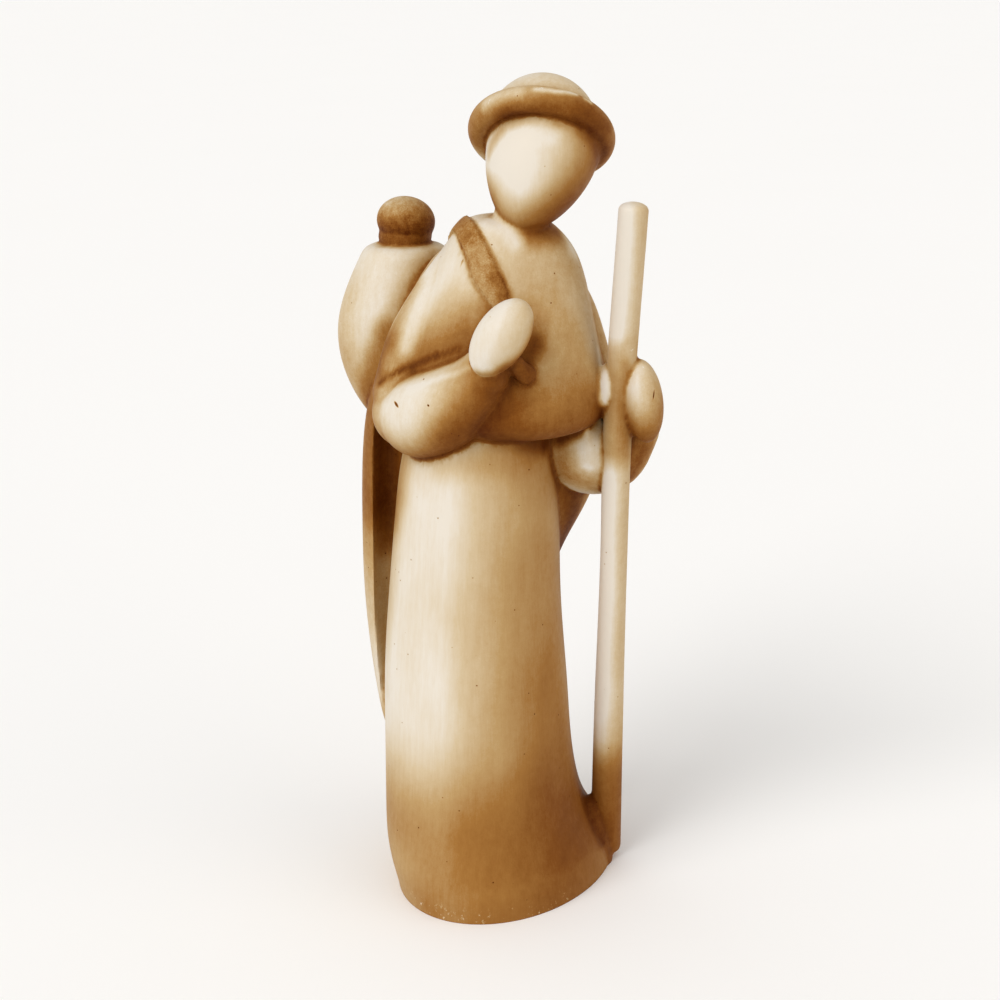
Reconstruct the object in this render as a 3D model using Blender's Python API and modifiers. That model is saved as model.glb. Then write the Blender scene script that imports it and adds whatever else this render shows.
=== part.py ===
"""A nativity shepherd carved from one block of wood: robe, cape, poncho, sack, hat and staff in one piece.

The figure stands on the flat underside of its robe, at z = 0, and faces -Y.
Its forms are laid out in the three-quarter view that they are drawn in: across to the right, back away
from the viewer and up. The finished block is then turned to face -Y.
"""

import math

import bmesh
import bpy
from mathutils import Matrix, Vector
from mathutils.bvhtree import BVHTree

MM = 0.001

# Driving sizes in millimetres
FIGURE_HEIGHT = 150.0
BASE_LENGTH = 52.4
BASE_WIDTH = 38.4
STAFF_LENGTH = 129.6
STAFF_TOP_DIAMETER = 5.2
STAFF_FOOT_DIAMETER = 6.0
HAT_BRIM_DIAMETER = 25.6
HAT_BRIM_THICKNESS = 4.3
HAT_CROWN_DIAMETER = 19.8
HAT_CROWN_HEIGHT = 10.3
STRAP_WIDTH = 4.2
STRAP_RELIEF = 0.7
CARVING_VOXEL = 0.5

# The pose is laid out on a grid that divides the figure's height into this many units.
GRID_UNITS = 150.0
UNIT = FIGURE_HEIGHT / GRID_UNITS * MM
FACING_TURN = math.radians(-20.0)

# Fineness of the forms before they are carved together
CAGE_SIDES = 12
CAGE_FIT = 6.0 / (4.0 + 2.0 * math.cos(2.0 * math.pi / CAGE_SIDES))
FORM_LEVELS = 3
LIMB_STEPS = 6
LIMB_SIDES = 32
DOME_RINGS = 6
BALL_SIDES = 48
PROFILE_STEPS = 12
SANDING_PASSES = 6
FINISHED_TRIANGLES = 9700
SHARP_ANGLE = math.radians(38.0)
WELD = 0.01 * MM

WOOD_COLOUR = (0.80, 0.62, 0.40, 1.0)
WOOD_ROUGHNESS = 0.5

# Upright forms as horizontal ovals: up, centre across, centre back, half width, half depth
ROBE_TURN = math.radians(61.5)
ROBE_OVALS = (
    (15, -3.2, -0.3, 21.0, 17.8),
    (26, -4.1, -0.4, 19.2, 17.1),
    (37, -4.4, -0.4, 18.6, 16.9),
    (47, -4.7, -0.3, 17.6, 16.4),
    (56, -4.7, -0.1, 16.8, 15.7),
    (65, -4.4, 0.0, 16.2, 15.2),
    (75, -4.0, 0.0, 15.6, 14.7),
    (84, -4.1, 0.2, 14.4, 13.5),
    (94, -2.5, 0.5, 12.5, 12.0),
)
PONCHO_OVALS = (
    (88.0, 1.8, -0.4, 9.0, 9.0),
    (89.3, 2.0, -0.8, 14.6, 13.6),
    (91.6, 1.7, -0.9, 17.5, 16.1),
    (96.0, 0.4, -0.6, 19.2, 16.2),
    (102, -0.4, 0.0, 18.3, 14.8),
    (109, 0.1, 0.6, 16.3, 13.0),
    (116, 1.3, 1.0, 13.7, 10.8),
    (121, 1.7, 1.0, 11.3, 8.9),
    (124.6, 1.3, 0.8, 8.3, 7.2),
    (126.4, 0.8, 0.8, 5.8, 5.2),
)
CAPE_OVALS = (
    (20, -8.0, 4.0, 12.5, 12.5),
    (34, -8.4, 5.0, 15.2, 12.8),
    (48, -8.6, 5.5, 16.6, 12.6),
    (58, -8.2, 6.0, 17.6, 12.2),
    (66, -6.6, 6.5, 19.2, 12.0),
    (75, -3.8, 7.0, 22.0, 11.6),
    (88, -2.6, 7.0, 22.6, 11.2),
    (98, -2.2, 6.8, 20.4, 10.8),
    (108, -1.6, 6.0, 16.4, 10.0),
    (116, -0.6, 4.8, 13.0, 8.6),
    (122, 0.2, 3.4, 9.4, 6.6),
)
CAPE_GROOVE_OVALS = (
    (30, -22.2, -0.5, 0.5, 1.0),
    (38, -21.9, -1.0, 1.0, 2.2),
    (47, -21.4, -1.2, 1.9, 3.6),
    (58, -20.9, -1.4, 2.7, 5.2),
    (70, -20.4, -1.4, 3.3, 6.8),
    (82, -20.2, -1.4, 3.5, 7.6),
    (92, -20.0, -1.4, 3.4, 7.0),
    (99, -19.6, -1.6, 1.4, 3.0),
)
SACK_OVALS = (
    (84, -17.0, 12.0, 3.5, 3.5),
    (89, -18.0, 12.8, 8.0, 7.4),
    (97, -18.6, 13.6, 11.2, 10.0),
    (105, -18.6, 13.8, 11.8, 10.4),
    (112, -18.0, 13.8, 10.0, 8.9),
    (117, -17.3, 13.7, 8.3, 7.4),
    (119.8, -17.1, 13.6, 7.1, 6.4),
)
STAFF_WEB_OVALS = (
    (-4, 17.5, 1.6, 5.0, 5.0),
    (3, 17.5, 1.6, 4.6, 4.4),
    (8, 17.2, 1.5, 3.9, 3.6),
    (11.5, 17.3, 1.5, 2.6, 2.5),
    (13.8, 17.4, 1.5, 1.1, 1.1),
)

# Round limbs as points along them: across, back, up, radius
RIGHT_UPPER_ARM = (
    (-5.2, 2.0, 118.5, 5.0),
    (-9.2, 0.5, 111.0, 6.4),
    (-13.1, -1.2, 103.0, 7.2),
    (-15.8, -3.6, 95.4, 6.8),
)
RIGHT_FOREARM = (
    (-16.2, -4.8, 92.2, 6.5),
    (-13.4, -8.0, 92.5, 7.6),
    (-9.0, -11.2, 95.0, 7.3),
    (-5.0, -13.6, 98.6, 5.9),
    (-2.6, -15.2, 101.8, 4.4),
)
LEFT_UPPER_ARM = (
    (7.4, 2.4, 115.0, 5.8),
    (11.5, 3.0, 109.0, 5.4),
    (13.8, 3.2, 102.5, 5.4),
    (15.6, 2.6, 95.0, 5.6),
)
LEFT_SLEEVE = (
    (6.5, 4.0, 92.0, 7.0),
    (12.5, 2.5, 87.3, 9.6),
    (18.6, 1.2, 85.8, 10.4),
    (22.9, -0.4, 88.6, 6.5),
    (24.0, -2.0, 92.5, 4.2),
)
NECK = (
    (1.8, 0.4, 119.0, 7.0),
    (2.9, -0.8, 122.5, 5.7),
    (3.6, -1.3, 125.5, 4.9),
    (5.8, 0.0, 132.0, 5.4),
)
STRAP_TAIL = (
    (2.4, -16.8, 104.0, 1.5),
    (3.4, -16.2, 102.6, 1.6),
    (4.4, -15.4, 101.6, 1.8),
)

# The strap's line over the shoulder, as points on or near the surface, and its last points off it
STRAP_ON_BODY = (
    (-11.5, 13.5, 113.5),
    (-8.6, 10.0, 118.0),
    (-7.2, 5.0, 122.4),
    (-6.5, -0.9, 124.7),
    (-5.2, -4.2, 123.2),
    (-4.2, -6.2, 121.5),
    (-3.2, -7.5, 119.5),
    (-2.4, -8.7, 117.3),
    (-1.1, -10.0, 115.2),
)
STRAP_TO_HAND = (
    (0.1, -11.8, 112.6),
    (0.2, -14.0, 110.8),
)

# The left sleeve is pressed flatter than round: the place back that it keeps and its share of depth
LEFT_SLEEVE_MIDDLE = 1.2
LEFT_SLEEVE_DEPTH = 0.74

# Balls as centre, half sizes, share that the lower end loses, and turns about across, back and up in degrees
HEAD = ((6.9, 0.3, 136.0), (9.6, 9.9, 13.3), 0.2, (-26.0, 19.2, 0.0))
RIGHT_HAND = ((0.2, -19.4, 108.8), (4.4, 4.2, 7.3), 0.0, (0.0, 33.0, 0.0))
RIGHT_PALM = ((0.2, -14.5, 107.7), (3.5, 5.6, 6.0), 0.0, (0.0, 33.0, 0.0))
LEFT_HAND = ((25.1, -6.3, 94.6), (3.6, 4.5, 7.6), 0.0, (0.0, -8.0, 0.0))
LEFT_FINGERS = ((18.7, -5.4, 97.0), (1.9, 2.8, 4.4), 0.0, (0.0, 6.0, 0.0))
SACK_KNOT = ((-17.1, 13.8, 123.3), (5.35, 5.1, 4.4), 0.0, (0.0, 8.0, 0.0))
SACK_KNOT_NECK = ((-17.3, 13.8, 120.5), (4.9, 4.7, 3.0), 0.0, (0.0, 0.0, 0.0))

HAT_CENTRE = (7.2, 1.8, 140.1)
HAT_TURNS = (-38.5, 5.5, -4.0)

# The staff's centre line: across and back at its foot, at the hand and at its top
STAFF_FOOT = (20.8, 3.0)
STAFF_SHIN = (20.7, 0.4)
STAFF_WAIST = (20.8, -3.0)
STAFF_HAND = (20.9, -5.8)
STAFF_TOP = (22.6, -7.6)
STAFF_HAND_HEIGHT = 92.0
# The staff's foot stops just clear of the ground; its two ends are domes of these shares of their radius
STAFF_FOOT_HEIGHT = 2.2
STAFF_FOOT_DOME = 0.45
STAFF_TOP_DOME = 0.5
# How far the forms that meet the ground run below it before the block is cut flat
GROUND_ALLOWANCE = 6.0


def clear_scene():
    for thing in list(bpy.data.objects):
        bpy.data.objects.remove(thing)


def mesh_object(name, bm, collection):
    mesh = bpy.data.meshes.new(name)
    bmesh.ops.recalc_face_normals(bm, faces=bm.faces)
    bm.to_mesh(mesh)
    bm.free()
    thing = bpy.data.objects.new(name, mesh)
    collection.objects.link(thing)
    return thing


def with_modifiers_applied(name, source, collection):
    """A plain mesh object as the source's modifiers leave it; the source is removed."""
    bpy.context.view_layer.update()
    seen = source.evaluated_get(bpy.context.evaluated_depsgraph_get())
    mesh = bpy.data.meshes.new_from_object(seen)
    bpy.data.objects.remove(source)
    thing = bpy.data.objects.new(name, mesh)
    collection.objects.link(thing)
    return thing


def turns(degrees):
    about_across, about_back, about_up = (math.radians(d) for d in degrees)
    return (
        Matrix.Rotation(about_up, 4, "Z")
        @ Matrix.Rotation(about_back, 4, "Y")
        @ Matrix.Rotation(about_across, 4, "X")
    )


def column(name, ovals, turn, collection):
    """A smooth upright form through horizontal ovals."""
    bm = bmesh.new()
    rings = []
    for up, across, back, half_width, half_depth in ovals:
        place = Matrix.Translation(Vector((across, back, up)) * UNIT) @ Matrix.Rotation(turn, 4, "Z")
        size = Matrix.Diagonal((half_width * CAGE_FIT * UNIT, half_depth * CAGE_FIT * UNIT, 1.0, 1.0))
        made = bmesh.ops.create_circle(bm, segments=CAGE_SIDES, radius=1.0, matrix=place @ size)
        rings.append(made["verts"])
    for low, high in zip(rings, rings[1:]):
        edges = [bm.edges.get((ring[i - 1], ring[i])) for ring in (low, high) for i in range(CAGE_SIDES)]
        bmesh.ops.bridge_loops(bm, edges=edges)
    bm.faces.new(rings[0])
    bm.faces.new(rings[-1])
    thing = mesh_object(name, bm, collection)
    smooth = thing.modifiers.new("smooth", "SUBSURF")
    smooth.levels = FORM_LEVELS
    smooth.render_levels = FORM_LEVELS
    return with_modifiers_applied(name, thing, collection)


def smooth_line(points):
    """Points along a Catmull-Rom line through the given ones, each with its radius last."""
    ends = [Vector(p) for p in points]
    ends = [2 * ends[0] - ends[1]] + ends + [2 * ends[-1] - ends[-2]]
    line = []
    for before, start, finish, after in zip(ends, ends[1:], ends[2:], ends[3:]):
        for i in range(LIMB_STEPS):
            t = i / LIMB_STEPS
            slope = (finish - before) * t
            bend = (2 * before - 5 * start + 4 * finish - after) * t**2
            twist = (3 * start - before - 3 * finish + after) * t**3
            line.append(0.5 * (2 * start + slope + bend + twist))
    line.append(ends[-2])
    return line


def domed(line, start_height, finish_height):
    """The line with a dome's shrinking rings at both ends, each one's height a share of its radius."""
    stations = [(Vector(p[:3]), p[3]) for p in line]
    start, start_radius = stations[0]
    finish, finish_radius = stations[-1]
    start_way = (start - stations[1][0]).normalized()
    finish_way = (finish - stations[-2][0]).normalized()
    for i in range(1, DOME_RINGS):
        angle = math.pi / 2 * i / DOME_RINGS
        out, shrink = math.sin(angle), math.cos(angle)
        stations.insert(0, (start + start_way * start_radius * out * start_height, start_radius * shrink))
        stations.append((finish + finish_way * finish_radius * out * finish_height, finish_radius * shrink))
    return stations


def limb(name, points, collection, start_height=1.0, finish_height=1.0):
    """A round limb along a smooth line through the points, domed at both ends."""
    stations = domed(smooth_line(points), start_height, finish_height)
    centres = [centre for centre, _ in stations]
    bm = bmesh.new()
    rings = []
    across = (centres[1] - centres[0]).orthogonal()
    for i, (centre, radius) in enumerate(stations):
        along = (centres[min(i + 1, len(centres) - 1)] - centres[max(i - 1, 0)]).normalized()
        across = (across - along * across.dot(along)).normalized()
        side = along.cross(across)
        ring = []
        for k in range(LIMB_SIDES):
            angle = 2 * math.pi * k / LIMB_SIDES
            spoke = across * math.cos(angle) + side * math.sin(angle)
            ring.append(bm.verts.new((centre + radius * spoke) * UNIT))
        rings.append(ring)
    for low, high in zip(rings, rings[1:]):
        for k in range(LIMB_SIDES):
            bm.faces.new((low[k - 1], low[k], high[k], high[k - 1]))
    bm.faces.new(rings[0])
    bm.faces.new(rings[-1])
    return mesh_object(name, bm, collection)


def left_sleeve(collection):
    sleeve = limb("left_sleeve", LEFT_SLEEVE, collection)
    middle = Matrix.Translation((0.0, LEFT_SLEEVE_MIDDLE * UNIT, 0.0))
    sleeve.data.transform(middle @ Matrix.Diagonal((1.0, LEFT_SLEEVE_DEPTH, 1.0, 1.0)) @ middle.inverted())
    return sleeve


def ball(name, shape, collection):
    """A ball stretched to its half sizes, narrowed towards its lower end and turned."""
    centre, half_sizes, narrowing, degrees = shape
    bm = bmesh.new()
    bmesh.ops.create_uvsphere(bm, u_segments=BALL_SIDES, v_segments=BALL_SIDES // 2, radius=1.0)
    for v in bm.verts:
        keep = 1.0 + narrowing * v.co.z
        v.co.x *= keep
        v.co.y *= keep
    size = Matrix.Diagonal((*(Vector(half_sizes) * UNIT), 1.0))
    bm.transform(Matrix.Translation(Vector(centre) * UNIT) @ turns(degrees) @ size)
    return mesh_object(name, bm, collection)


def hat(collection):
    """A bowler with a thick rolled brim, turned about its own axis and tipped back off the face."""
    brim = HAT_BRIM_DIAMETER / 2
    crown = HAT_CROWN_DIAMETER / 2
    roll = HAT_BRIM_THICKNESS / 2
    profile = [(0.0, HAT_CROWN_HEIGHT)]
    for i in range(1, PROFILE_STEPS):
        angle = math.radians(90.0 - 80.0 * i / PROFILE_STEPS)
        profile.append((crown * math.cos(angle), HAT_CROWN_HEIGHT * math.sin(angle)))
    for i in range(PROFILE_STEPS + 1):
        angle = math.radians(110.0 - 270.0 * i / PROFILE_STEPS)
        profile.append((brim - roll + roll * math.cos(angle), 1.1 * roll * math.sin(angle) - 0.2 * roll))
    profile.append((brim - 2.0 * roll, -0.3 * roll))
    profile.append((0.0, -0.3 * roll))
    bm = bmesh.new()
    verts = [bm.verts.new((radius * MM, 0.0, height * MM)) for radius, height in profile]
    edges = [bm.edges.new(pair) for pair in zip(verts, verts[1:])]
    whole = 2 * math.pi
    bmesh.ops.spin(
        bm, geom=verts + edges, cent=(0, 0, 0), axis=(0, 0, 1), angle=whole, steps=BALL_SIDES, use_merge=True
    )
    bmesh.ops.remove_doubles(bm, verts=bm.verts, dist=WELD)
    bm.transform(Matrix.Translation(Vector(HAT_CENTRE) * UNIT) @ turns(HAT_TURNS))
    return mesh_object("hat", bm, collection)


def robe(collection):
    """The robe's column, which spreads at the foot to the base's own length and width."""
    half_length = BASE_LENGTH / 2 * MM / UNIT
    half_width = BASE_WIDTH / 2 * MM / UNIT
    foot = (
        (-GROUND_ALLOWANCE, 1.9, 2.0, half_length, half_width),
        (0, 1.7, 1.9, half_length, half_width),
        (4, 0.6, 1.2, half_length * 0.985, half_width * 1.02),
        (9, -1.6, 0.2, half_length * 0.89, half_width * 0.99),
    )
    return column("robe", foot + ROBE_OVALS, ROBE_TURN, collection)


def cape(collection):
    """The cape, with the deep groove that parts its front edge from the robe."""
    body = column("cape", CAPE_OVALS, 0.0, collection)
    groove = column("cape_groove", CAPE_GROOVE_OVALS, 0.0, collection)
    cut = body.modifiers.new("groove", "BOOLEAN")
    cut.object = groove
    cut.operation = "DIFFERENCE"
    cut.solver = "EXACT"
    body = with_modifiers_applied("cape", body, collection)
    bpy.data.objects.remove(groove)
    return body


def staff(collection):
    top = STAFF_TOP_DIAMETER / 2 * MM / UNIT
    foot = STAFF_FOOT_DIAMETER / 2 * MM / UNIT
    shoulder = STAFF_LENGTH * MM / UNIT - top * STAFF_TOP_DOME
    points = (
        (*STAFF_FOOT, STAFF_FOOT_HEIGHT, foot),
        (*STAFF_SHIN, STAFF_HAND_HEIGHT * 0.35, foot * 0.93),
        (*STAFF_WAIST, STAFF_HAND_HEIGHT * 0.68, top * 0.96),
        (*STAFF_HAND, STAFF_HAND_HEIGHT, top),
        (*STAFF_TOP, shoulder, top),
    )
    return limb("staff", points, collection, STAFF_FOOT_DOME, STAFF_TOP_DOME)


def strap(body_parts, collection):
    """A band in low relief: a limb sunk into the body until only its width and relief show."""
    bm = bmesh.new()
    for part in body_parts:
        bm.from_mesh(part.data)
    surface = BVHTree.FromBMesh(bm)
    bm.free()
    radius = (STRAP_WIDTH**2 / 4 + STRAP_RELIEF**2) / (2 * STRAP_RELIEF) * MM / UNIT
    sink = radius - STRAP_RELIEF * MM / UNIT
    points = []
    for point in STRAP_ON_BODY:
        place, normal, _, _ = surface.find_nearest(Vector(point) * UNIT)
        points.append((*(place / UNIT - normal * sink), radius))
    points += [(*point, STRAP_WIDTH / 2 * MM / UNIT) for point in STRAP_TO_HAND]
    return limb("strap", points, collection)


def carved_forms(collection):
    body = [
        column("poncho", PONCHO_OVALS, 0.0, collection),
        cape(collection),
        limb("right_upper_arm", RIGHT_UPPER_ARM, collection),
    ]
    return body + [
        strap(body, collection),
        robe(collection),
        column("sack", SACK_OVALS, 0.0, collection),
        column("staff_web", STAFF_WEB_OVALS, 0.0, collection),
        limb("right_forearm", RIGHT_FOREARM, collection),
        limb("left_upper_arm", LEFT_UPPER_ARM, collection),
        left_sleeve(collection),
        limb("neck", NECK, collection),
        limb("strap_tail", STRAP_TAIL, collection),
        ball("head", HEAD, collection),
        ball("right_hand", RIGHT_HAND, collection),
        ball("right_palm", RIGHT_PALM, collection),
        ball("left_hand", LEFT_HAND, collection),
        ball("left_fingers", LEFT_FINGERS, collection),
        ball("sack_knot", SACK_KNOT, collection),
        ball("sack_knot_neck", SACK_KNOT_NECK, collection),
        hat(collection),
        staff(collection),
    ]


def join(name, forms, collection):
    bm = bmesh.new()
    for form in forms:
        bm.from_mesh(form.data)
        bpy.data.objects.remove(form)
    return mesh_object(name, bm, collection)


def carve(block, collection):
    """Fuses the overlapping forms into one closed body, eases its edges and thins its mesh."""
    fuse = block.modifiers.new("fuse", "REMESH")
    fuse.mode = "VOXEL"
    fuse.voxel_size = CARVING_VOXEL * MM
    sand = block.modifiers.new("sand", "SMOOTH")
    sand.factor = 0.5
    sand.iterations = SANDING_PASSES
    block = with_modifiers_applied("block", block, collection)
    thin = block.modifiers.new("thin", "DECIMATE")
    thin.ratio = FINISHED_TRIANGLES / (2.0 * len(block.data.polygons))
    return with_modifiers_applied("shepherd", block, collection)


def cut_flat(thing):
    """Cuts the block off at the ground and closes the underside."""
    bm = bmesh.new()
    bm.from_mesh(thing.data)
    everything = bm.verts[:] + bm.edges[:] + bm.faces[:]
    bmesh.ops.bisect_plane(bm, geom=everything, plane_co=(0, 0, 0), plane_no=(0, 0, -1), clear_outer=True)
    rim = [edge for edge in bm.edges if edge.is_boundary]
    bmesh.ops.holes_fill(bm, edges=rim, sides=0)
    bmesh.ops.remove_doubles(bm, verts=bm.verts, dist=WELD)
    bmesh.ops.triangulate(bm, faces=bm.faces)
    bm.to_mesh(thing.data)
    bm.free()


def stained_wood():
    wood = bpy.data.materials.new("stained_wood")
    wood.use_nodes = True
    shader = wood.node_tree.nodes["Principled BSDF"]
    shader.inputs["Base Color"].default_value = WOOD_COLOUR
    shader.inputs["Roughness"].default_value = WOOD_ROUGHNESS
    shader.inputs["Metallic"].default_value = 0.0
    return wood


def main():
    clear_scene()
    collection = bpy.data.collections.new("shepherd_figurine")
    bpy.context.scene.collection.children.link(collection)
    figure = carve(join("block", carved_forms(collection), collection), collection)
    cut_flat(figure)
    figure.data.transform(Matrix.Rotation(FACING_TURN, 4, "Z"))
    figure.data.materials.append(stained_wood())
    figure.data.shade_smooth()
    figure.data.set_sharp_from_angle(angle=SHARP_ANGLE)


main()
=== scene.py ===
import math

import bpy
import numpy as np
from mathutils import Euler, Matrix, Vector
from mathutils.bvhtree import BVHTree


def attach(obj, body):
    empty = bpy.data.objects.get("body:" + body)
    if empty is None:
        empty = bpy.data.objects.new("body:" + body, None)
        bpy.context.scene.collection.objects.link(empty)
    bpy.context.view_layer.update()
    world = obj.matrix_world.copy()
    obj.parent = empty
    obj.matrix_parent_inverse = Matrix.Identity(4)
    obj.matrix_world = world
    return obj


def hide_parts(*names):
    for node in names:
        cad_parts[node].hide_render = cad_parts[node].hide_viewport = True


# A carved and stained nativity shepherd. It is laid out as it is seen in three-quarter view, across to the
# right, back away from the viewer and up, and turned to face -Y when the carving is done.
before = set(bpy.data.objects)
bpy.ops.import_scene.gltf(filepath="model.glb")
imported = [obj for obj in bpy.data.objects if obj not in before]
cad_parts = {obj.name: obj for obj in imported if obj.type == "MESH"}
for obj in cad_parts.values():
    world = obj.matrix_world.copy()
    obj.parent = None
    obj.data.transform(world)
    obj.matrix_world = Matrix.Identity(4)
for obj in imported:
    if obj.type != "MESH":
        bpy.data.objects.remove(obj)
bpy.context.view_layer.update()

MM = 0.001
FIGURE_HEIGHT = 150.0
GRID_UNITS = 150.0
UNIT = FIGURE_HEIGHT / GRID_UNITS * MM
FACING_TURN = math.radians(-20.0)

# Fineness of the rough forms and of the finished carving
CAGE_SIDES = 12
CAGE_FIT = 6.0 / (4.0 + 2.0 * math.cos(2.0 * math.pi / CAGE_SIDES))
CAGE_LEVELS = 4
LIMB_SIDES = 40
LIMB_STEPS = 6
DOME_RINGS = 7
BALL_SIDES = 64
HAT_SIDES = 96
CARVING_VOXEL = 0.34 * MM
SANDING_PASSES = 4
FINISHED_TRIANGLES = 190000
WELD = 0.002 * MM
SAW_TOLERANCE = 0.001 * MM
SHARP_ANGLE = math.radians(50.0)

# Upright forms as horizontal ovals: up, centre across, centre back, half width, half depth
ROBE_TURN = math.radians(61.5)
ROBE_OVALS = (
    (-6, 1.9, 2.0, 26.2, 19.2),
    (0, 1.7, 1.9, 26.2, 19.2),
    (4, 0.6, 1.2, 25.8, 19.58),
    (9, -1.6, 0.2, 23.32, 19.01),
    (15, -3.2, -0.3, 21.0, 17.8),
    (26, -4.1, -0.4, 19.2, 17.1),
    (37, -4.4, -0.4, 18.6, 16.9),
    (47, -4.7, -0.3, 17.6, 16.4),
    (56, -4.7, -0.1, 16.8, 15.7),
    (65, -4.4, 0.0, 16.2, 15.2),
    (75, -4.0, 0.0, 15.6, 14.7),
    (84, -4.1, 0.2, 14.4, 13.5),
    (94, -2.5, 0.5, 12.5, 12.0),
)
PONCHO_OVALS = (
    (88.0, 1.8, -0.4, 9.0, 9.0),
    (89.3, 2.0, -0.8, 14.6, 13.6),
    (91.6, 1.7, -0.9, 17.5, 16.1),
    (96.0, 0.4, -0.6, 19.2, 16.2),
    (102, -0.4, 0.0, 18.3, 14.8),
    (109, 0.1, 0.6, 16.3, 13.0),
    (116, 1.3, 1.0, 13.7, 10.8),
    (121, 1.7, 1.0, 11.3, 8.9),
    (124.6, 1.3, 0.8, 8.3, 7.2),
    (126.4, 0.8, 0.8, 5.8, 5.2),
)
CAPE_OVALS = (
    (20, -8.0, 4.0, 12.5, 12.5),
    (34, -8.4, 5.0, 15.2, 12.8),
    (48, -8.6, 5.5, 16.6, 12.6),
    (58, -8.2, 6.0, 17.6, 12.2),
    (66, -6.6, 6.5, 19.2, 12.0),
    (75, -3.8, 7.0, 22.0, 11.6),
    (88, -2.6, 7.0, 22.6, 11.2),
    (98, -2.2, 6.8, 20.4, 10.8),
    (108, -1.6, 6.0, 16.4, 10.0),
    (116, -0.6, 4.8, 13.0, 8.6),
    (122, 0.2, 3.4, 9.4, 6.6),
)
CAPE_GROOVE_OVALS = (
    (30, -22.2, -0.5, 0.5, 1.0),
    (38, -21.9, -1.0, 1.0, 2.2),
    (47, -21.4, -1.2, 1.9, 3.6),
    (58, -20.9, -1.4, 2.7, 5.2),
    (70, -20.4, -1.4, 3.3, 6.8),
    (82, -20.2, -1.4, 3.5, 7.6),
    (92, -20.0, -1.4, 3.4, 7.0),
    (99, -19.6, -1.6, 1.4, 3.0),
)
SACK_OVALS = (
    (84, -17.0, 12.0, 3.5, 3.5),
    (89, -18.0, 12.8, 8.0, 7.4),
    (97, -18.6, 13.6, 11.2, 10.0),
    (105, -18.6, 13.8, 11.8, 10.4),
    (112, -18.0, 13.8, 10.0, 8.9),
    (117, -17.3, 13.7, 8.3, 7.4),
    (119.8, -17.1, 13.6, 7.1, 6.4),
)
STAFF_WEB_OVALS = (
    (-4, 17.5, 1.6, 5.0, 5.0),
    (3, 17.5, 1.6, 4.6, 4.4),
    (8, 17.2, 1.5, 3.9, 3.6),
    (11.5, 17.3, 1.5, 2.6, 2.5),
    (13.8, 17.4, 1.5, 1.1, 1.1),
)

# Round limbs as points along them: across, back, up, radius
RIGHT_UPPER_ARM = (
    (-5.2, 2.0, 118.5, 5.0),
    (-9.2, 0.5, 111.0, 6.4),
    (-13.1, -1.2, 103.0, 7.2),
    (-15.8, -3.6, 95.4, 6.8),
)
RIGHT_FOREARM = (
    (-16.2, -4.8, 92.2, 6.5),
    (-13.4, -8.0, 92.5, 7.6),
    (-9.0, -11.2, 95.0, 7.3),
    (-5.0, -13.6, 98.6, 5.9),
    (-2.6, -15.2, 101.8, 4.4),
)
LEFT_UPPER_ARM = (
    (7.4, 2.4, 115.0, 5.8),
    (11.5, 3.0, 109.0, 5.4),
    (13.8, 3.2, 102.5, 5.4),
    (15.6, 2.6, 95.0, 5.6),
)
LEFT_SLEEVE = (
    (6.5, 4.0, 92.0, 7.0),
    (12.5, 2.5, 87.3, 9.6),
    (18.6, 1.2, 85.8, 10.4),
    (22.9, -0.4, 88.6, 6.5),
    (24.0, -2.0, 92.5, 4.2),
)
NECK = (
    (1.8, 0.4, 119.0, 7.0),
    (2.9, -0.8, 122.5, 5.7),
    (3.6, -1.3, 125.5, 4.9),
    (5.8, 0.0, 132.0, 5.4),
)
STRAP_TAIL = ((2.4, -16.8, 104.0, 1.5), (3.4, -16.2, 102.6, 1.6), (4.4, -15.4, 101.6, 1.8))
STAFF_LINE = (
    (20.8, 3.0, 2.2, 3.0),
    (20.7, 0.4, 32.2, 2.79),
    (20.8, -3.0, 62.6, 2.5),
    (20.9, -5.8, 92.0, 2.6),
    (22.6, -7.6, 128.3, 2.6),
)

# The left sleeve is pressed flatter than round: the place back that it keeps and its share of depth
LEFT_SLEEVE_MIDDLE = 1.2
LEFT_SLEEVE_DEPTH = 0.74

# Balls as centre, half sizes, share that the lower end loses, and turns about across, back and up in degrees
HEAD = ((6.9, 0.3, 136.0), (9.6, 9.9, 13.3), 0.2, (-26.0, 19.2, 0.0))
RIGHT_HAND = ((0.2, -19.4, 108.8), (4.4, 4.2, 7.3), 0.0, (0.0, 33.0, 0.0))
RIGHT_PALM = ((0.2, -14.5, 107.7), (3.5, 5.6, 6.0), 0.0, (0.0, 33.0, 0.0))
LEFT_HAND = ((25.1, -6.3, 94.6), (3.6, 4.5, 7.6), 0.0, (0.0, -8.0, 0.0))
LEFT_FINGERS = ((18.7, -5.4, 97.0), (1.9, 2.8, 4.4), 0.0, (0.0, 6.0, 0.0))
SACK_KNOT = ((-17.1, 13.8, 123.3), (5.35, 5.1, 4.4), 0.0, (0.0, 8.0, 0.0))
SACK_KNOT_NECK = ((-17.3, 13.8, 120.5), (4.9, 4.7, 3.0), 0.0, (0.0, 0.0, 0.0))

# The bowler: its sizes in millimetres, its place and its turns in degrees. The crown's curve and the brim's
# roll are swept through angles in degrees. The roll's stretch and drop and the inside's two sizes are shares
# of the roll's radius.
BRIM_RADIUS = 12.8
BRIM_ROLL = 2.15
CROWN_RADIUS = 9.9
CROWN_HEIGHT = 10.3
HAT_CENTRE = (7.2, 1.8, 140.1)
HAT_TURNS = (-38.5, 5.5, -4.0)
PROFILE_STEPS = 16
CROWN_SWEEP = 80.0
BRIM_ROLL_START = 110.0
BRIM_ROLL_SWEEP = 270.0
BRIM_ROLL_STRETCH = 1.1
BRIM_ROLL_DROP = 0.2
INSIDE_DEPTH = 0.3
INSIDE_RADIUS = 0.4

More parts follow.
